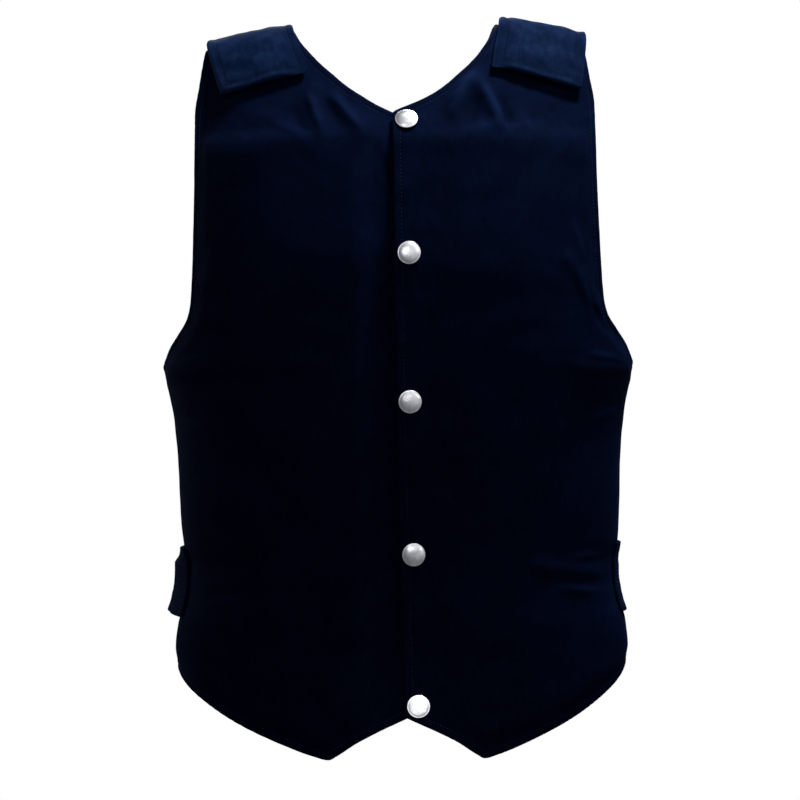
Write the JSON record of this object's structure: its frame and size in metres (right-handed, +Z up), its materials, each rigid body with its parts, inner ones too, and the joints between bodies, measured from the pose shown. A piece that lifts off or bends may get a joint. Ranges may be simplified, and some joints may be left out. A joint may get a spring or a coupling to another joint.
{
  "type": "stab vest",
  "caption": "Sleeveless padded body vest with a V neck, press-stud front, fold-over shoulder straps and slack side straps.",
  "frame": {"origin": "midway between the shoulder straps, level with their undersides beside the neck: the point that the vest hangs from on a pair of shoulders", "axes": "+Z up, the front faces -Y, the wearer's left is +X"},
  "size_m": [0.3921, 0.2218, 0.6082],
  "materials": {
    "shell_cloth": "dark navy woven nylon, matt with a faint sheen",
    "strap_cloth": "navy woven nylon with a stitched border",
    "side_strap_cloth": "navy elastic webbing, satin",
    "hook_tape": "black hook tape, matt",
    "snap_metal": "nickel-plated press stud, softly polished"
  },
  "bodies": {
    "root": {"front_panel_left": "shell_cloth", "front_panel_right": "shell_cloth", "back_panel": "shell_cloth", "shoulder_strap_left": "strap_cloth", "shoulder_strap_right": "strap_cloth", "hook_patch_left": "hook_tape", "hook_patch_right": "hook_tape", "side_strap_left": "side_strap_cloth", "side_strap_right": "side_strap_cloth", "snap_cap_1": "snap_metal", "snap_cap_2": "snap_metal", "snap_cap_3": "snap_metal", "snap_cap_4": "snap_metal", "snap_cap_5": "snap_metal", "snap_stud_1": "snap_metal", "snap_stud_2": "snap_metal", "snap_stud_3": "snap_metal", "snap_stud_4": "snap_metal", "snap_stud_5": "snap_metal"}
  },
  "joints": []
}
